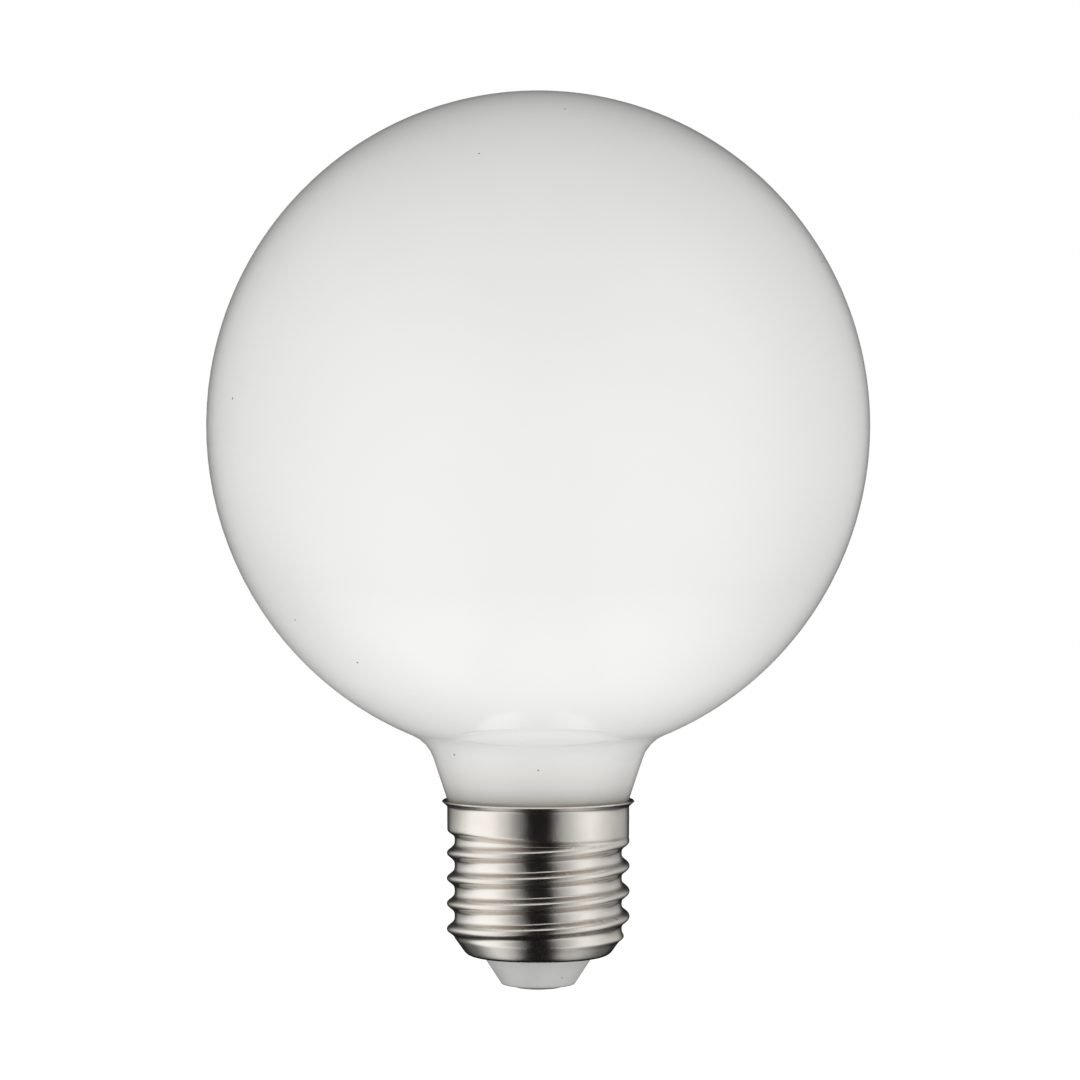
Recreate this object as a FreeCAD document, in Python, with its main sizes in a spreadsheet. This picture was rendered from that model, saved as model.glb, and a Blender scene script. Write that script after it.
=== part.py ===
import FreeCAD, Part
import math
import os
import Sketcher
from FreeCAD import Placement, Rotation, Vector

# A globe bulb with an E27 screw cap, standing on its centre contact.
# Millimetres, +Z up. The origin is the centre of the contact's bottom face,
# and every height below is counted from there. A crest of the right-handed
# thread passes the +X side at crest_height.

# The driving dimensions: name, value, what it is.
DIMENSIONS = [
    ("globe_width", 95.0, "the globe across"),
    ("globe_tallness", 95.8, "the globe from pole to pole, a little more than across"),
    ("neck_length", 6.57, "from the lip's bend up to where the globe's lower pole would be"),
    ("neck_blend", 5.5, "radius of the hollow where the globe turns into the neck"),
    ("neck_taper", 18.3, "angle of the neck's side to the axis, in degrees"),
    ("neck_depth", 10.18, "how far the neck reaches down into the shell"),
    ("neck_rounding", 0.8, "rounding at the end of the neck"),
    ("cement_gap", 0.05, "room round the neck in the shell"),
    ("sheet_gauge", 0.25, "thickness of the shell's sheet"),
    ("floor_height", 4.6, "height of the shell's flat bottom"),
    ("floor_ledge", 2.24, "width of the flat bottom, from the plug out to the cone's foot"),
    ("floor_bend", 1.5, "bend between the bottom and the cone"),
    ("cone_inset", 1.78, "how far the cone leads in from the thread's root"),
    ("cone_rise", 2.5, "height of the cone"),
    ("crest_width", 26.3, "the thread across its crests"),
    ("thread_depth", 1.14, "from crest to root"),
    ("thread_pitch", 3.629, "rise of the thread in one turn, seven turns to the inch"),
    ("ridge_reach", 0.83, "from the middle of the ridge to where its side is at a third of its height"),
    ("thread_length", 14.12, "height of the threaded part, from the cone up to the step"),
    ("crest_height", 13.81, "height of a crest on the +X side"),
    ("run_in_drop", 0.6, "how far below the cone's top the lowest crest begins to rise"),
    ("run_in", 1.4, "height over which it rises to its full size"),
    ("skirt_step", 1.0, "height of the step from the thread's root out to the skirt"),
    ("step_slant", 0.58, "how much higher than in the middle the step is on the -X side"),
    ("step_bend", 0.5, "bend at both ends of that step and at the cone's upper end"),
    ("skirt_width", 26.16, "the plain skirt across"),
    ("skirt_length", 3.81, "height of the skirt, from the step up to the lip's bend"),
    ("lip_bend", 0.35, "bend of the lip"),
    ("lip_tallness", 0.64, "height of the lip"),
    ("lip_reach", 0.76, "how far the lip stands out from the skirt"),
    ("plug_taper", 2.74, "how far the plug's tip is in from where the plug leaves the shell"),
    ("plug_rounding", 0.4, "rounding of the plug's lower edge"),
    ("flange_inset", 1.3, "how far the plug's flange stays in from the cone's foot"),
    ("flange_thickness", 1.6, "thickness of that flange, which holds the plug in the shell"),
    ("seat_gap", 0.05, "room between the plug and the shell"),
    ("contact_inset", 1.7, "width of the plug's tip left bare round the contact"),
    ("contact_proud", 0.4, "how far the contact stands below the plug"),
    ("contact_rounding", 0.25, "rounding of the contact's lower edge"),
    ("shank_width", 2.4, "the contact's shank across, pressed into the plug"),
    ("shank_proud", 0.8, "how far the shank stands above the flange"),
]

# The shell's surface is laid out in steps of this size, and in this many round the axis.
SHEET_STEP = 0.2
STEPS_AROUND = 48

# The ridge's section is a bell: the higher this power, the flatter its top and steeper its sides.
BELL_POWER = 2.5

# How far a level edge may be from the height where it is looked for.
LEVEL_TOLERANCE = 0.02

doc = FreeCAD.newDocument("globe_bulb")
dims = doc.addObject("Spreadsheet::Sheet", "dims")
for row, (alias, value, meaning) in enumerate(DIMENSIONS, start=1):
    dims.set("A%d" % row, meaning)
    dims.set("B%d" % row, str(value))
    dims.setAlias("B%d" % row, alias)
doc.recompute()

# Heights and radii that several pieces share.
CONE_TOP = "dims.floor_height + dims.cone_rise"
STEP_FOOT = CONE_TOP + " + dims.thread_length"
SKIRT_EDGE = STEP_FOOT + " + dims.skirt_step"
LIP_FOOT = SKIRT_EDGE + " + dims.skirt_length"
ROOT_RADIUS = "dims.crest_width / 2 - dims.thread_depth"
SKIRT_RADIUS = "dims.skirt_width / 2"
FLOOR_RADIUS = ROOT_RADIUS + " - dims.cone_inset"
PLUG_RADIUS = FLOOR_RADIUS + " - dims.floor_ledge"
TIP_RADIUS = PLUG_RADIUS + " - dims.plug_taper"
SHANK_RADIUS = "dims.shank_width / 2"
FLANGE_FOOT = "dims.floor_height + dims.sheet_gauge + dims.seat_gap"
FLANGE_TOP = FLANGE_FOOT + " + dims.flange_thickness"


def start_body(label):
    """Start a piece."""
    body = doc.addObject("PartDesign::Body", label)
    body.Label = label
    return body


def start_outline(body):
    """Start a sketch on the body's XZ plane: radius to the right, height up."""
    sketch = body.newObject("Sketcher::SketchObject", body.Label + "_outline")
    for feature in body.Origin.OriginFeatures:
        if feature.Role == "XZ_Plane":
            sketch.AttachmentSupport = [(feature, "")]
    sketch.MapMode = "FlatFace"
    return sketch


def bind(sketch, name, expression, *constraint):
    """Add a dimension to a sketch, name it and tie it to the sheet."""
    index = sketch.addConstraint(Sketcher.Constraint(*constraint))
    sketch.renameConstraint(index, name)
    sketch.setExpression("Constraints." + name, expression)


def bind_point(sketch, name, line, end, radius, height):
    """Fix one end of a line at a radius and a height, where None is a zero."""
    if radius is None:
        sketch.addConstraint(Sketcher.Constraint("PointOnObject", line, end, -2))
    else:
        bind(sketch, name + "_radius", radius, "DistanceX", -1, 1, line, end, 1.0)
    if height is None:
        sketch.addConstraint(Sketcher.Constraint("PointOnObject", line, end, -1))
    else:
        bind(sketch, name + "_height", height, "DistanceY", -1, 1, line, end, 1.0)


def draw_corners(sketch, corners, closed):
    """Draw straight lines from corner to corner.

    Each corner is a name, a radius and a height, given as expressions or as None for zero.
    """
    lines = len(corners) if closed else len(corners) - 1
    for line in range(lines):
        rough_start = Vector(1 + line, 1 + line ** 2, 0)
        rough_end = Vector(2 + line, 1 + (line + 1) ** 2, 0)
        sketch.addGeometry(Part.LineSegment(rough_start, rough_end), False)
    for line in range(1, lines):
        sketch.addConstraint(Sketcher.Constraint("Coincident", line - 1, 2, line, 1))
    for line, (name, radius, height) in enumerate(corners[:lines]):
        bind_point(sketch, name, line, 1, radius, height)
    if closed:
        sketch.addConstraint(Sketcher.Constraint("Coincident", lines - 1, 2, 0, 1))
    else:
        name, radius, height = corners[-1]
        bind_point(sketch, name, lines - 1, 2, radius, height)
    doc.recompute()


def turn(body, sketch):
    """Turn a closed sketch once round the upright axis."""
    turned = body.newObject("PartDesign::Revolution", body.Label + "_turned")
    turned.Profile = sketch
    turned.ReferenceAxis = (sketch, ["V_Axis"])
    turned.Angle = 360
    doc.recompute()
    return turned


def widest_ring(shape, low, high):
    """Name the widest level edge between two heights."""
    widths = {}
    for number, edge in enumerate(shape.Edges, start=1):
        box = edge.BoundBox
        if box.ZLength < LEVEL_TOLERANCE and low <= box.ZMin <= high:
            widths["Edge%d" % number] = box.XLength
    return max(widths, key=widths.get)


def ring_at(shape, height):
    """Name the widest level edge at a height."""
    return widest_ring(shape, height - LEVEL_TOLERANCE, height + LEVEL_TOLERANCE)


def round_ring(body, base, name, edge, radius):
    """Round an edge of the body's last feature."""
    rounding = body.newObject("PartDesign::Fillet", body.Label + "_" + name)
    rounding.Base = (base, [edge])
    rounding.setExpression("Radius", radius)
    doc.recompute()
    return rounding


def bent_line(corners):
    """Join corners by straight runs, with an arc of the given bend at each inner corner."""
    edges = []
    start = corners[0][0]
    for (before, _), (corner, bend), (after, _) in zip(corners, corners[1:], corners[2:]):
        incoming = (corner - before).normalize()
        outgoing = (after - corner).normalize()
        turning = incoming.getAngle(outgoing)
        cut = bend * math.tan(turning / 2)
        arc_start = corner - incoming * cut
        arc_end = corner + outgoing * cut
        inwards = (outgoing - incoming).normalize()
        middle = corner + inwards * (bend / math.cos(turning / 2) - bend)
        edges.append(Part.LineSegment(start, arc_start).toShape())
        edges.append(Part.Arc(arc_start, middle, arc_end).toShape())
        start = arc_end
    edges.append(Part.LineSegment(start, corners[-1][0]).toShape())
    return Part.Wire(edges)


def fade(value, low, high):
    """Go smoothly from 0 at low to 1 at high."""
    share = min(1.0, max(0.0, (value - low) / (high - low)))
    return share * share * (3 - 2 * share)


def skin(rows, degree):
    """Carry rows of points, each once round the axis, into one closed surface."""
    knots = len(rows) - degree + 1
    surface = Part.BSplineSurface()
    surface.buildFromPolesMultsKnots(
        rows, [degree + 1] + [1] * (knots - 2) + [degree + 1], [1] * (STEPS_AROUND + 1),
        [float(knot) for knot in range(knots)], [float(knot) for knot in range(STEPS_AROUND + 1)],
        False, True, degree, 3)
    return surface.toShape()


def outline_shell():
    """Draw the shell's outer outline, and list its corners from the hole to the lip."""
    sketch = doc.addObject("Sketcher::SketchObject", "screw_shell_outline")
    sketch.Placement = Placement(Vector(), Rotation(Vector(1, 0, 0), 90))
    draw_corners(sketch, [
        ("hole", PLUG_RADIUS + " + dims.seat_gap", "dims.floor_height"),
        ("floor", FLOOR_RADIUS, "dims.floor_height"),
        ("cone_top", ROOT_RADIUS, CONE_TOP),
        ("step_foot", ROOT_RADIUS, STEP_FOOT),
        ("skirt_edge", SKIRT_RADIUS, SKIRT_EDGE),
        ("lip_foot", SKIRT_RADIUS, LIP_FOOT),
        ("lip", SKIRT_RADIUS + " + dims.lip_reach", LIP_FOOT + " + dims.lip_tallness"),
    ], False)
    lines = sketch.Geometry
    drawn = [line.StartPoint for line in lines] + [lines[-1].EndPoint]
    return [Vector(point.x, 0, point.y) for point in drawn]


def sheet_point(point, turn_share, corners):
    """Where a point of the outline lies after a share of a turn, with the thread rolled in."""
    cone_top, step_foot, skirt_edge, lip_foot = corners[2:6]
    below = fade(point.z, step_foot.z - dims.thread_pitch, step_foot.z)
    above = fade(point.z, skirt_edge.z, lip_foot.z)
    slant = dims.step_slant * math.cos(2 * math.pi * turn_share)
    height = point.z - slant * below * (1 - above)

    rise = height - dims.crest_height - dims.thread_pitch * turn_share
    from_crest = abs(math.remainder(rise, dims.thread_pitch))
    wave = math.exp(-(from_crest / dims.ridge_reach) ** BELL_POWER)
    start = cone_top.z - dims.run_in_drop
    run_in = fade(height, start, start + dims.run_in)
    run_out = fade(point.z, step_foot.z, skirt_edge.z)
    crest = step_foot.x + dims.thread_depth
    reach = crest + (skirt_edge.x - crest) * run_out
    push = wave * run_in * max(0.0, reach - point.x)
    return Vector(point.x + push, 0, height)


def make_screw_shell(corners):
    """The shell is drawn from thin sheet: bottom, cone, rolled thread, skirt and lip."""
    hole, floor, cone_top, step_foot, skirt_edge, lip_foot, lip = corners
    outline = bent_line([
        (hole, 0), (floor, dims.floor_bend), (cone_top, dims.step_bend),
        (step_foot, dims.step_bend), (skirt_edge, dims.step_bend),
        (lip_foot, dims.lip_bend), (lip, 0)])
    points = outline.discretize(Number=math.ceil(outline.Length / SHEET_STEP) + 1)

    # A smooth closed curve stays inside the points that draw it, so they stand further out.
    stand_out = 3 / (2 + math.cos(2 * math.pi / STEPS_AROUND))
    outer_rows = [[] for _ in points]
    inner_rows = [[] for _ in points]
    for step in range(STEPS_AROUND):
        turn_share = step / STEPS_AROUND
        around = Rotation(Vector(0, 0, 1), 360 * turn_share)
        outside = [sheet_point(point, turn_share, corners) for point in points]
        for index, point in enumerate(outside):
            ahead = outside[min(index + 1, len(outside) - 1)]
            behind = outside[max(index - 1, 0)]
            along = (ahead - behind).normalize()
            inside = point + Vector(-along.z, 0, along.x) * dims.sheet_gauge
            outer_rows[index].append(around.multVec(Vector(point.x * stand_out, 0, point.z)))
            inner_rows[index].append(around.multVec(Vector(inside.x * stand_out, 0, inside.z)))

    sheet = Part.Shell([
        skin(outer_rows, 3),
        skin(inner_rows, 3),
        skin([outer_rows[0], inner_rows[0]], 1),
        skin([outer_rows[-1], inner_rows[-1]], 1),
    ])
    sheet.sewShape()
    solid = Part.Solid(sheet)
    if solid.Volume < 0:
        solid.reverse()
    shell = doc.addObject("Part::Feature", "screw_shell")
    shell.Label = "screw_shell"
    shell.Shape = solid
    shell.Placement = Placement()
    return shell


def make_glass_globe(corners):
    """The opal globe with its neck: blown in one piece, sealed, and closed all round."""
    body = start_body("glass_globe")
    sketch = start_outline(body)
    seat_radius = SKIRT_RADIUS + " - dims.sheet_gauge - dims.cement_gap"
    root_bore = ROOT_RADIUS + " - dims.sheet_gauge - dims.cement_gap"
    side_radius = "min(%s; %s)" % (seat_radius, root_bore)
    side_foot = LIP_FOOT + " - dims.neck_depth"
    above_step = " + dims.step_slant + dims.step_bend"

    # Straight lines make the tapered neck, the seat in the skirt, the step in to the side
    # that clears the thread, that side, the neck's end, and the axis up to the pole.
    step_foot, skirt_edge, lip_foot = [Vector(at.x, at.z, 0) for at in corners[3:6]]
    half_width = dims.globe_width / 2
    half_tall = dims.globe_tallness / 2
    centre = Vector(0, lip_foot.y + dims.neck_length + half_tall, 0)
    pole = centre + Vector(0, half_tall, 0)
    foot = lip_foot.y - dims.neck_depth
    widening = dims.neck_length * math.tan(math.radians(dims.neck_taper))
    joint = lip_foot + Vector(widening, dims.neck_length, 0)
    rough = [joint, lip_foot, skirt_edge, step_foot, Vector(step_foot.x, foot, 0),
             Vector(0, foot, 0), pole]
    for start, end in zip(rough, rough[1:]):
        sketch.addGeometry(Part.LineSegment(start, end), False)
    neck, seat, step, side, end, axis = range(6)
    for line in range(5):
        sketch.addConstraint(Sketcher.Constraint("Coincident", line, 2, line + 1, 1))
    slope = math.radians(90 - dims.neck_taper)
    bind(sketch, "slope", "90 - dims.neck_taper", "Angle", -1, 1, neck, 2, slope)
    bind_point(sketch, "seat_top", seat, 1, seat_radius, LIP_FOOT)
    bind_point(sketch, "seat_foot", step, 1, seat_radius, SKIRT_EDGE + above_step)
    bind_point(sketch, "side_top", side, 1, side_radius, STEP_FOOT + above_step)
    bind_point(sketch, "side_foot", end, 1, side_radius, side_foot)
    bind_point(sketch, "axis_foot", axis, 1, None, side_foot)

    # The globe's side is an arc of an ellipse, from the neck round to the pole. Its long
    # axis is upright on a tall globe, and level on a wide one.
    foot_angle = math.acos(joint.x / half_width)
    long_line = axis + 2
    short_line = axis + 3
    if half_tall > half_width:
        ellipse = Part.Ellipse(pole, centre - Vector(half_width, 0, 0), centre)
        arc = Part.ArcOfEllipse(ellipse, -foot_angle - math.pi / 2, 0)
        direction, upright_line, level_line = "Vertical", long_line, short_line
    else:
        ellipse = Part.Ellipse(centre + Vector(half_width, 0, 0), pole, centre)
        arc = Part.ArcOfEllipse(ellipse, -foot_angle, math.pi / 2)
        direction, upright_line, level_line = "Horizontal", short_line, long_line
    globe = sketch.addGeometry(arc, False)
    sketch.exposeInternalGeometry(globe)
    centre_height = LIP_FOOT + " + dims.neck_length + dims.globe_tallness / 2"
    sketch.addConstraint(Sketcher.Constraint(direction, long_line))
    sketch.addConstraint(Sketcher.Constraint("PointOnObject", globe, 3, -2))
    bind(sketch, "centre_height", centre_height, "DistanceY", -1, 1, globe, 3, centre.y)
    bind(sketch, "tallness", "dims.globe_tallness", "Distance", upright_line, 2 * half_tall)
    bind(sketch, "width", "dims.globe_width", "Distance", level_line, 2 * half_width)
    sketch.addConstraint(Sketcher.Constraint("Coincident", globe, 1, neck, 1))
    sketch.addConstraint(Sketcher.Constraint("Coincident", globe, 2, axis, 2))
    sketch.addConstraint(Sketcher.Constraint("PointOnObject", axis, 2, -2))
    turned = turn(body, sketch)

    joint_ring = widest_ring(turned.Shape, lip_foot.y + LEVEL_TOLERANCE, centre.y)
    blended = round_ring(body, turned, "hollow", joint_ring, "dims.neck_blend")
    round_ring(body, blended, "end_rounding", ring_at(blended.Shape, foot), "dims.neck_rounding")
    return body


def make_insulator():
    """The white plug: a cone that sticks out below, held by a flange inside the shell."""
    body = start_body("insulator")
    sketch = start_outline(body)
    flange_radius = FLOOR_RADIUS + " - dims.flange_inset"
    draw_corners(sketch, [
        ("lower_bore", SHANK_RADIUS, "dims.contact_proud"),
        ("tip", TIP_RADIUS, "dims.contact_proud"),
        ("collar_foot", PLUG_RADIUS, "dims.floor_height"),
        ("collar_top", PLUG_RADIUS, FLANGE_FOOT),
        ("flange_foot", flange_radius, FLANGE_FOOT),
        ("flange_top", flange_radius, FLANGE_TOP),
        ("upper_bore", SHANK_RADIUS, FLANGE_TOP),
    ], True)
    turned = turn(body, sketch)
    tip_ring = ring_at(turned.Shape, dims.contact_proud)
    round_ring(body, turned, "rounding", tip_ring, "dims.plug_rounding")
    return body


def make_centre_contact():
    """The contact is a nail: a flat head under the plug, and a shank pressed through it."""
    body = start_body("centre_contact")
    sketch = start_outline(body)
    head_radius = TIP_RADIUS + " - dims.contact_inset"
    shank_top = FLANGE_TOP + " + dims.shank_proud"
    draw_corners(sketch, [
        ("head_centre", None, None),
        ("head_foot", head_radius, None),
        ("head_top", head_radius, "dims.contact_proud"),
        ("shank_foot", SHANK_RADIUS, "dims.contact_proud"),
        ("shank_top", SHANK_RADIUS, shank_top),
        ("shank_centre", None, shank_top),
    ], True)
    turned = turn(body, sketch)
    round_ring(body, turned, "rounding", ring_at(turned.Shape, 0), "dims.contact_rounding")
    return body


corners = outline_shell()
pieces = [make_glass_globe(corners), make_screw_shell(corners), make_insulator(),
          make_centre_contact()]
doc.recompute()

for thing in doc.Objects:
    if "Invalid" in thing.State or "Error" in thing.State:
        raise ValueError("%s is %s" % (thing.Name, thing.State))
for piece in pieces:
    if piece.Shape.isNull() or not piece.Shape.isValid():
        raise ValueError("%s has no sound shape" % piece.Label)

os.makedirs("parts", exist_ok=True)
for piece in pieces:
    piece.Shape.exportStep("parts/%s.step" % piece.Label)
    box = piece.Shape.BoundBox
    print("%s: %d solid, %.1f mm3, z %.2f to %.2f, %.2f across" % (
        piece.Label, len(piece.Shape.Solids), piece.Shape.Volume, box.ZMin, box.ZMax, box.XLength))
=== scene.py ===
import math

import bpy
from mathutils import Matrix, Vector

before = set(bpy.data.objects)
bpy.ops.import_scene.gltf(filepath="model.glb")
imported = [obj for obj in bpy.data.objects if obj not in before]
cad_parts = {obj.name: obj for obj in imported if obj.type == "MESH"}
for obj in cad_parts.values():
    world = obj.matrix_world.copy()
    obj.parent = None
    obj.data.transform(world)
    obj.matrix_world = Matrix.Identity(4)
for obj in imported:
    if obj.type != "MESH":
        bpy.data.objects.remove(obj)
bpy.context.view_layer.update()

# The globe and its neck are blown from one gather of clear glass and coated opal white
# inside. Shade is painted down the neck, from white to a dark brownish grey at the cap, and
# painted light brightens a band at the foot of the globe. Two fine grey arcs under the globe
# and a grainy brownish band just above the lip are painted reflections of the cap. The
# glossy outside has faint ripples and dark seeds.
NECK_SHADE_FOOT = 0.026
NECK_SHADE_TOP = 0.058
PAINTED_NECK_SHADES = [
    (0.00, (0.290, 0.276, 0.250)), (0.07, (0.545, 0.530, 0.500)), (0.11, (0.665, 0.655, 0.630)),
    (0.175, (0.750, 0.743, 0.722)), (0.24, (0.800, 0.797, 0.780)), (0.30, (0.855, 0.854, 0.842)),
    (0.36, (0.970, 0.971, 0.961)), (0.58, (0.985, 0.986, 0.976)), (1.0, (0.890, 0.895, 0.881))]
MOTTLE_SHADES = [(0.30, (0.984, 0.984, 0.980)), (0.50, 1.0), (0.72, 1.0)]
ARC_HEIGHT = 0.0369
ARC_RISE = 0.00138
ARC_LEFT = -0.0115
ARC_RIGHT = 0.0109
ARC_CORE = 0.00003
ARC_EDGE = 0.00020
ARC_DEPTH = 0.22
REFLECTED_ARC_COLOUR = (0.56, 0.54, 0.49)
SEEDS = [
    ((-0.01179, -0.01015, 0.03400), 0.00011),
    ((0.00001, -0.01479, 0.03214), 0.00008),
    ((-0.04184, -0.02228, 0.08357), 0.00012),
    ((0.03973, -0.01318, 0.10311), 0.00012),
    ((-0.03345, -0.02007, 0.05319), 0.00010),
    ((-0.02462, -0.02404, 0.04750), 0.00010),
    ((-0.00793, -0.03077, 0.11610), 0.00009),
    ((0.00369, -0.02078, 0.12340), 0.00009),
    ((0.03120, 0.03010, 0.06100), 0.00010),
    ((-0.01900, 0.04160, 0.09800), 0.00011),
]
SEED_SOFTNESS = 1.9
SEED_COLOUR = (0.16, 0.14, 0.12)
LIP_REFLECTION_FOOT = 0.0264
LIP_REFLECTION_TOP = 0.0277
LIP_REFLECTION_DEPTH = 0.75
LIP_REFLECTION_COLOUR = (0.36, 0.33, 0.28)
GLASS_IOR = 1.5


def start_material(name):
    """Start an empty material, and give it with a function that adds nodes to it."""
    material = bpy.data.materials.new(name)
    material.use_nodes = True
    material.node_tree.nodes.clear()
    return material, node_adder(material.node_tree)


def node_adder(tree):
    """Give a function that adds a node, links or sets its inputs, and gives one output."""
    def add(kind, inputs=None, out=0, **settings):
        node = tree.nodes.new("ShaderNode" + kind)
        for name, value in settings.items():
            setattr(node, name, value)
        for key, value in (inputs or {}).items():
            if isinstance(value, bpy.types.NodeSocket):
                tree.links.new(value, node.inputs[key])
            else:
                node.inputs[key].default_value = value
        return node.outputs[out] if node.outputs else node
    return add


def surface_place(add):
    """Give a point of the surface in the bulb's own coordinates, whole and in its parts."""
    place = add("TexCoord", out="Object")
    return place, add("SeparateXYZ", {"Vector": place}).node.outputs


def math_of(add, operation, *values):
    """Give what one operation makes of the values."""
    return add("Math", dict(enumerate(values)), operation=operation)


def fade(add, value, start, end, before=0.0, after=1.0, shape="SMOOTHSTEP"):
    """Go from the value before to the value after while the input goes from start to end."""
    return add("MapRange", {"Value": value, "From Min": start, "From Max": end,
                            "To Min": before, "To Max": after}, interpolation_type=shape)


def noise(add, place, scale, detail, roughness=0.5):
    """Add soft random clouds."""
    return add("TexNoise", {"Vector": place, "Scale": scale, "Detail": detail,
                            "Roughness": roughness})


def fill_ramp(add, value, stops):
    """Add a colour ramp with a colour, or a grey given as one number, at each place."""
    colour = add("ValToRGB", {"Fac": value})
    elements = colour.node.color_ramp.elements
    elements.remove(elements[1])
    for index, (place, shade) in enumerate(stops):
        element = elements[0] if index == 0 else elements.new(place)
        element.position = place
        element.color = (*shade, 1.0) if isinstance(shade, tuple) else (shade, shade, shade, 1.0)
    return colour


def stain(add, base, mask, colour):
    """Lay a colour over the base where the mask is."""
    return add("MixRGB", {"Fac": mask, "Color1": base, "Color2": (*colour, 1.0)})


def emboss(add, height, strength, distance, over=None, invert=False):
    """Raise the height as a relief, over another relief if one is given."""
    inputs = {"Height": height, "Strength": strength, "Distance": distance}
    if over is not None:
        inputs["Normal"] = over
    return add("Bump", inputs, invert=invert)


def spot(add, place, centre, radius, softness):
    """Give 1 inside a small ball round a point of the surface, and 0 outside it."""
    away = add("VectorMath", {0: place, 1: centre}, out="Value", operation="DISTANCE")
    return fade(add, away, radius, radius * softness, 1.0, 0.0)


def any_of(add, masks):
    """Give the strongest of several masks."""
    strongest = masks[0]
    for mask in masks[1:]:
        strongest = math_of(add, "MAXIMUM", strongest, mask)
    return strongest


def dress(node, material):
    """Put a material on a piece that keeps its shape."""
    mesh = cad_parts[node].data
    mesh.materials.clear()
    mesh.materials.append(material)


opal, add = start_material("opal_glass")
place, parts = surface_place(add)
unevenness = noise(add, place, 28.0, 3.0)
mottle = fill_ramp(add, unevenness, MOTTLE_SHADES)
# Painted shade darkens the neck towards the cap, and painted light brightens a band at the
# globe's foot.
up_the_neck = fade(add, parts["Z"], NECK_SHADE_FOOT, NECK_SHADE_TOP, shape="LINEAR")
painted_neck_shade = fill_ramp(add, up_the_neck, PAINTED_NECK_SHADES)
mottled = add("MixRGB", {"Fac": 1.0, "Color1": painted_neck_shade, "Color2": mottle}, blend_type="MULTIPLY")

# Painted reflection: two grey arcs are the cap's lip reflected in the hollow under the globe,
# painted on the front only.
across = fade(add, parts["X"], ARC_LEFT, ARC_RIGHT, -1.0, 1.0, "LINEAR")
from_middle = math_of(add, "ABSOLUTE", across)
across_square = math_of(add, "MULTIPLY", across, across)
arch = math_of(add, "SQRT", math_of(add, "MULTIPLY_ADD", across_square, -1.0, 1.0))
from_height = math_of(add, "ABSOLUTE", math_of(add, "SUBTRACT", parts["Z"], ARC_HEIGHT))
past_arc = math_of(add, "MULTIPLY_ADD", arch, -ARC_RISE, from_height)
arc = fade(add, math_of(add, "ABSOLUTE", past_arc), ARC_CORE, ARC_EDGE, ARC_DEPTH, 0.0)
arc_ends = fill_ramp(add, from_middle, [(0.15, 0.0), (0.45, 1.0), (0.85, 1.0), (0.97, 0.0)])
in_front = fade(add, parts["Y"], -0.004, -0.008, shape="LINEAR")
arcs = math_of(add, "MULTIPLY", math_of(add, "MULTIPLY", arc, arc_ends), in_front)
with_painted_arcs = stain(add, mottled, arcs, REFLECTED_ARC_COLOUR)

seeds = any_of(add, [spot(add, place, centre, size, SEED_SOFTNESS) for centre, size in SEEDS])
seeded = stain(add, with_painted_arcs, seeds, SEED_COLOUR)
# Painted reflection: a grainy brownish band just above the lip stands for the lip reflected in
# the glass.
reflection_grain = noise(add, place, 420.0, 4.0, 0.6)
painted_lip_reflection = fade(add, parts["Z"], LIP_REFLECTION_FOOT, LIP_REFLECTION_TOP, LIP_REFLECTION_DEPTH, 0.0)
with_lip_reflection = stain(add, seeded, math_of(add, "MULTIPLY", painted_lip_reflection, reflection_grain), LIP_REFLECTION_COLOUR)

rippled = emboss(add, noise(add, place, 34.0, 1.0), 0.20, 0.0012)
peeled = emboss(add, noise(add, place, 900.0, 2.0), 0.05, 0.00004, rippled)
pitted = emboss(add, seeds, 0.25, 0.00006, peeled)
gloss = fade(add, unevenness, 0.3, 0.7, 0.10, 0.16, "LINEAR")
glass = add("BsdfPrincipled", {"Base Color": with_lip_reflection, "Roughness": gloss, "IOR": GLASS_IOR,
                               "Normal": pitted})
add("OutputMaterial", {"Surface": glass})
dress("glass_globe", opal)

# The cap's shell is drawn and rolled from thin brass sheet and plated with nickel. The
# plating is bright satin with fine lines round it from the rolling, duller on the ridges, and
# it has small dents and pits where it was handled. Its creases under the ridges are painted
# dark, as painted shade.
PLATING_SHADES = [
    (0.30, (0.780, 0.735, 0.680)), (0.50, (0.820, 0.778, 0.725)), (0.70, (0.835, 0.795, 0.745))]
FLANK_RADIUS = 0.01215
RIDGE_RADIUS = 0.01300
THREAD_TOP = 0.0212
SKIRT_FOOT = 0.0226
RUBBED_COLOUR = (0.775, 0.732, 0.675)
CREASE_RADIUS = 0.01248
CREASE_CORE = 0.00008
CREASE_EDGE = 0.00038
CREASE_DEPTH = 0.42
CREASE_SHADE_COLOUR = (0.27, 0.24, 0.21)
PIT_COLOUR = (0.42, 0.35, 0.28)
DENTS = [
    ((0.00786, -0.00959, 0.01055), 0.00030),
    ((0.00915, -0.00866, 0.01044), 0.00022),
    ((0.01045, -0.00744, 0.01029), 0.00026),
    ((0.01120, -0.00610, 0.01060), 0.00018),
    ((-0.01012, -0.00816, 0.02676), 0.00030),
]
DENT_SOFTNESS = 2.2
ROLLING_SCALES = (120.0, 120.0, 9000.0)


def from_axis(add, place):
    """Give how far a point of the surface is from the bulb's axis."""
    level_place = add("VectorMath", {0: place, 1: (1.0, 1.0, 0.0)}, operation="MULTIPLY")
    return add("VectorMath", {0: level_place}, out="Value", operation="LENGTH")


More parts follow.
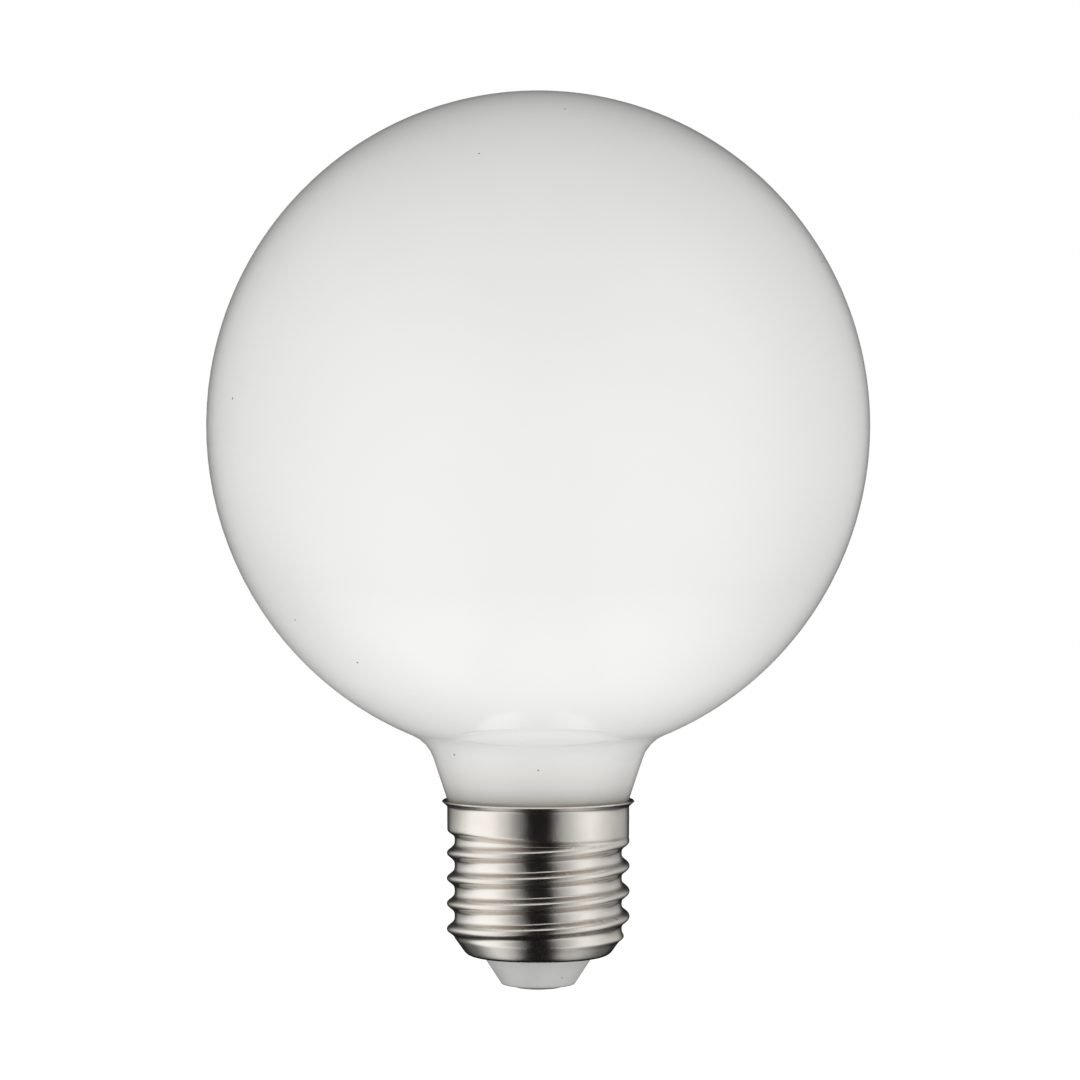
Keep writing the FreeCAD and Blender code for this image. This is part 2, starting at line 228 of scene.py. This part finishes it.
nickel, add = start_material("nickel_sheet")
place, parts = surface_place(add)
radius = from_axis(add, place)
on_thread = fade(add, parts["Z"], THREAD_TOP, SKIRT_FOOT, 1.0, 0.0)
on_ridge = fade(add, radius, FLANK_RADIUS, RIDGE_RADIUS)
rubbed = math_of(add, "MULTIPLY", on_ridge, on_thread)
tarnish = noise(add, place, 170.0, 5.0, 0.6)
worn = stain(add, fill_ramp(add, tarnish, PLATING_SHADES), rubbed, RUBBED_COLOUR)
# Painted shade: the plating is darkened in the creases at the foot of each ridge.
from_crease = math_of(add, "ABSOLUTE", math_of(add, "SUBTRACT", radius, CREASE_RADIUS))
painted_crease_shade = fade(add, from_crease, CREASE_CORE, CREASE_EDGE, CREASE_DEPTH, 0.0)
crease_shaded = stain(add, worn, math_of(add, "MULTIPLY", painted_crease_shade, on_thread), CREASE_SHADE_COLOUR)

pit_cells = add("TexVoronoi", {"Vector": place, "Scale": 620.0}, out="Distance")
pit_depth = fade(add, pit_cells, 0.05, 0.14, 1.0, 0.0, "LINEAR")
pit_share = fade(add, noise(add, place, 260.0, 1.0), 0.64, 0.72, shape="LINEAR")
pits = math_of(add, "MULTIPLY", pit_depth, pit_share)
pitted = stain(add, crease_shaded, pits, PIT_COLOUR)
dents = any_of(add, [spot(add, place, centre, size, DENT_SOFTNESS) for centre, size in DENTS])

rolling_lines = noise(add, add("Mapping", {"Vector": place, "Scale": ROLLING_SCALES}), 1.0, 2.0)
lined = emboss(add, rolling_lines, 0.10, 0.00004)
waved = emboss(add, noise(add, place, 150.0, 1.0), 0.15, 0.0004, lined)
dented = emboss(add, any_of(add, [pits, dents]), 0.35, 0.00008, waved, invert=True)
satin = fade(add, tarnish, 0.3, 0.7, 0.20, 0.14, "LINEAR")
satin_and_rubbed = math_of(add, "MULTIPLY_ADD", rubbed, 0.03, satin)
sheet = add("BsdfPrincipled", {"Base Color": pitted, "Metallic": 1.0,
                               "Roughness": satin_and_rubbed, "Normal": dented})
add("OutputMaterial", {"Surface": sheet})
dress("screw_shell", nickel)

# The plug is pressed from white ceramic powder with a binder, held in the shell by its
# flange. Its skin is satin and faintly grained. Its white is painted a mid grey, as painted
# shade under the cap, and its bottom rim is painted darker still, as painted shade.
SHADED_PLUG_GREYS = [
    (0.30, (0.480, 0.478, 0.466)), (0.50, (0.512, 0.511, 0.498)), (0.70, (0.536, 0.536, 0.525))]
BOTTOM_SHADE_FOOT = 0.0004
BOTTOM_SHADE_TOP = 0.0009
BOTTOM_SHADE_DEPTH = 0.55
SHADE_AND_SPECK_COLOUR = (0.22, 0.21, 0.20)
SPECK_PLACE = (0.00337, -0.00523, 0.00197)
SPECK_RADIUS = 0.00010
SPECK_SOFTNESS = 1.8
CERAMIC_IOR = 1.5

plug, add = start_material("white_plug")
place, parts = surface_place(add)
# Painted shade: the white plug's colour is a mid grey, standing for the shade under the cap.
clouds = noise(add, place, 210.0, 4.0)
# Painted shade: the plug's bottom rim is painted dark, and one real dark speck shares its colour.
bottom_shade = fade(add, parts["Z"], BOTTOM_SHADE_FOOT, BOTTOM_SHADE_TOP, BOTTOM_SHADE_DEPTH, 0.0)
speck = spot(add, place, SPECK_PLACE, SPECK_RADIUS, SPECK_SOFTNESS)
shade_and_speck = any_of(add, [bottom_shade, speck])
shaded_and_specked = stain(add, fill_ramp(add, clouds, SHADED_PLUG_GREYS), shade_and_speck, SHADE_AND_SPECK_COLOUR)
grained = emboss(add, noise(add, place, 2600.0, 2.0), 0.12, 0.00004)
sheen = fade(add, clouds, 0.3, 0.7, 0.34, 0.46, "LINEAR")
ceramic = add("BsdfPrincipled", {"Base Color": shaded_and_specked, "Roughness": sheen, "IOR": CERAMIC_IOR,
                                 "Normal": grained})
add("OutputMaterial", {"Surface": ceramic})
dress("insulator", plug)

# The centre contact is a headed brass nail, nickel-plated and pressed into the plug. Its
# head is dull, with fine turning rings and scratches from the holder's tongue, and its edge
# is painted near black, as a painted dark reflection.
DULL_SHADES = [(0.30, (0.52, 0.49, 0.45)), (0.55, (0.64, 0.61, 0.57)), (0.75, (0.70, 0.67, 0.63))]
EDGE_START = 0.0031
EDGE_FULL = 0.0036
EDGE_DEPTH = 0.85
DARK_REFLECTION_COLOUR = (0.090, 0.080, 0.070)
RING_RATE = 26000.0
SCRATCH_TURN = 0.6
SCRATCH_SCALES = (300.0, 5200.0, 300.0)

contact, add = start_material("nickel_contact")
place, parts = surface_place(add)
radius = from_axis(add, place)
dullness = noise(add, place, 700.0, 4.0)
# Painted dark reflection: the head's edge is painted near black.
painted_edge_reflection = fade(add, radius, EDGE_START, EDGE_FULL, 0.0, EDGE_DEPTH)
with_edge_reflection = stain(add, fill_ramp(add, dullness, DULL_SHADES), painted_edge_reflection, DARK_REFLECTION_COLOUR)
rings = math_of(add, "SINE", math_of(add, "MULTIPLY", radius, RING_RATE))
scratch_place = add("Mapping", {"Vector": place, "Rotation": (0.0, 0.0, SCRATCH_TURN),
                                "Scale": SCRATCH_SCALES})
ringed = emboss(add, rings, 0.06, 0.00002)
scratched = emboss(add, noise(add, scratch_place, 1.0, 3.0), 0.20, 0.00003, ringed)
dull_sheen = fade(add, dullness, 0.3, 0.7, 0.42, 0.28, "LINEAR")
head = add("BsdfPrincipled", {"Base Color": with_edge_reflection, "Metallic": 1.0, "Roughness": dull_sheen,
                              "Normal": scratched})
add("OutputMaterial", {"Surface": head})
dress("centre_contact", contact)

# The floor is a white light table far under the bulb, which hangs clear of it. It is
# lit from above and glows a little, and it keeps the bulb's soft shadow.
FLOOR_HEIGHT = -0.50
FLOOR_SIZE = 12.0
FLOOR_COLOUR = (0.90, 0.90, 0.90, 1.0)
FLOOR_GLOW = 0.275
FLOOR_GLOW_SEEN = 0.62


def background_strength(add, lighting, seen):
    """Give one strength for lighting the bulb, and another where the place itself is seen."""
    ray = add("LightPath").node.outputs
    direct = math_of(add, "MAXIMUM", ray["Is Camera Ray"], ray["Is Glossy Ray"])
    direct_or_through = math_of(add, "MAXIMUM", direct, ray["Is Transmission Ray"])
    return fade(add, direct_or_through, 0.0, 1.0, lighting, seen, "LINEAR")


bpy.ops.object.select_all(action="DESELECT")
bpy.ops.mesh.primitive_plane_add(size=FLOOR_SIZE, location=(0.0, 0.0, FLOOR_HEIGHT))
floor = bpy.context.object
floor.name = "floor"
light_table, add = start_material("light_table")
painted = add("BsdfDiffuse", {"Color": FLOOR_COLOUR})
glow = add("Emission", {"Strength": background_strength(add, FLOOR_GLOW, FLOOR_GLOW_SEEN)})
add("OutputMaterial", {"Surface": add("AddShader", {0: painted, 1: glow})})
floor.data.materials.append(light_table)
floor.visible_glossy = False

# The bulb hangs in a round tent of white cloth, which is all that its gloss mirrors. The
# cloth is parted where the camera looks in and closed with dark cloth at the back, and it
# is written as its brightness at each bearing, in degrees from the front, and each height.
TENT_RADIUS = 0.75
TENT_MIDDLE = 0.05
TENT_STRENGTH = 1.25
BEARINGS = [
    (-180, 0.05), (-160, 0.02), (-153, 0.08), (-146, 0.26), (-139, 0.40), (-130, 0.54),
    (-112, 0.92), (-90, 1.12), (-75, 1.14), (-62, 1.10), (-52, 0.92), (-42, 0.70),
    (-32, 0.43), (-22, 0.17), (-13, 0.03), (0, 0.00), (14, 0.01), (22, 0.15), (30, 0.40),
    (42, 0.60), (56, 0.90), (68, 1.00), (80, 0.90), (95, 0.72), (115, 0.60), (133, 0.50),
    (146, 0.34), (155, 0.08), (162, 0.02), (180, 0.05)]
HEIGHTS = [
    (0.0, 0.02), (0.012, 0.10), (0.03, 0.45), (0.06, 0.72), (0.12, 0.88), (0.30, 0.97),
    (0.50, 1.0), (0.68, 1.0), (0.84, 0.80), (0.92, 0.42), (0.97, 0.08), (1.0, 0.04)]
PARTING_DARK = 0.12 * TENT_RADIUS
PARTING_LIGHT = 0.34 * TENT_RADIUS
BACK_START = 0.10 * TENT_RADIUS
BACK_FULL = 0.50 * TENT_RADIUS
BELOW_START = -0.05 * TENT_RADIUS
BELOW_FULL = -0.45 * TENT_RADIUS
LOW_BACK_LOSS = 0.70
DARK_CLOTH = 0.008

bpy.ops.object.select_all(action="DESELECT")
bpy.ops.mesh.primitive_uv_sphere_add(segments=64, ring_count=32, radius=TENT_RADIUS,
                                     location=(0.0, 0.0, TENT_MIDDLE))
tent = bpy.context.object
tent.name = "light_tent"
tent.visible_camera = False
tent.visible_diffuse = False
tent.visible_transmission = False
tent.visible_shadow = False
tent_cloth, add = start_material("tent_cloth")
place, parts = surface_place(add)
front = math_of(add, "MULTIPLY", parts["Y"], -1.0)
bearing = math_of(add, "ARCTAN2", parts["X"], front)
round_share = fade(add, bearing, -math.pi, math.pi, shape="LINEAR")
round_light = fill_ramp(add, round_share, [
    ((degrees + 180) / 360, level / TENT_STRENGTH) for degrees, level in BEARINGS])
up_share = fade(add, parts["Z"], -TENT_RADIUS, TENT_RADIUS, shape="LINEAR")
even = math_of(add, "MULTIPLY", round_light, fill_ramp(add, up_share, HEIGHTS))
sideways = math_of(add, "ABSOLUTE", parts["X"])
parted = math_of(add, "MULTIPLY", even, fade(add, sideways, PARTING_DARK, PARTING_LIGHT))
behind = fade(add, parts["Y"], BACK_START, BACK_FULL, shape="LINEAR")
below = fade(add, parts["Z"], BELOW_START, BELOW_FULL, shape="LINEAR")
low_back = math_of(add, "MULTIPLY", behind, below)
low_back_share = math_of(add, "MULTIPLY_ADD", low_back, -LOW_BACK_LOSS, 1.0)
cloth = math_of(add, "MULTIPLY_ADD", parted, low_back_share, DARK_CLOTH)
add("OutputMaterial", {"Surface": add("Emission", {"Color": cloth, "Strength": TENT_STRENGTH})})
tent_cloth.cycles.emission_sampling = "NONE"
tent.data.materials.append(tent_cloth)

# Two soft boxes stand in front on either side, higher than the globe and turned down to
# it, and the room's even white light fills the rest.
LAMP_DISTANCE = 1.2
LAMP_HEIGHT = 0.28
LAMP_BEARING = 28.0
LAMP_WIDTH = 0.8
LAMP_TALLNESS = 1.0
LAMP_POWER = 2.90
AIM = Vector((0.0, 0.0, 0.08))
ROOM_LIGHT = 0.54
ROOM_LIGHT_SEEN = 1.0

for side, degrees in (("left", -LAMP_BEARING), ("right", LAMP_BEARING)):
    soft_box = bpy.data.lights.new("soft_box_" + side, "AREA")
    soft_box.shape = "RECTANGLE"
    soft_box.size = LAMP_WIDTH
    soft_box.size_y = LAMP_TALLNESS
    soft_box.energy = LAMP_POWER
    lamp = bpy.data.objects.new("soft_box_" + side, soft_box)
    bpy.context.collection.objects.link(lamp)
    lamp.location = (LAMP_DISTANCE * math.sin(math.radians(degrees)),
                     -LAMP_DISTANCE * math.cos(math.radians(degrees)), LAMP_HEIGHT)
    lamp.rotation_euler = (AIM - lamp.location).to_track_quat("-Z", "Y").to_euler()
    lamp.visible_glossy = False
    lamp.visible_camera = False

room = bpy.data.worlds.new("white_room")
room.use_nodes = True
room.node_tree.nodes.clear()
add = node_adder(room.node_tree)
strength = background_strength(add, ROOM_LIGHT, ROOM_LIGHT_SEEN)
add("OutputWorld", {"Surface": add("Background", {"Color": (1.0, 1.0, 1.0, 1.0),
                                                  "Strength": strength})})
bpy.context.scene.world = room

# The camera looks level at the bulb from the front, at the lower part of the globe, with a
# moderately long lens.
LENS = 107.7
SENSOR_WIDTH = 36.0
CAMERA_PLACE = (0.00026, -0.4646, 0.0642)

camera_data = bpy.data.cameras.new("camera")
camera_data.lens = LENS
camera_data.sensor_width = SENSOR_WIDTH
camera = bpy.data.objects.new("camera", camera_data)
bpy.context.collection.objects.link(camera)
camera.location = CAMERA_PLACE
camera.rotation_euler = (math.pi / 2, 0.0, 0.0)
bpy.context.scene.camera = camera
bpy.context.scene.view_settings.view_transform = "Standard"
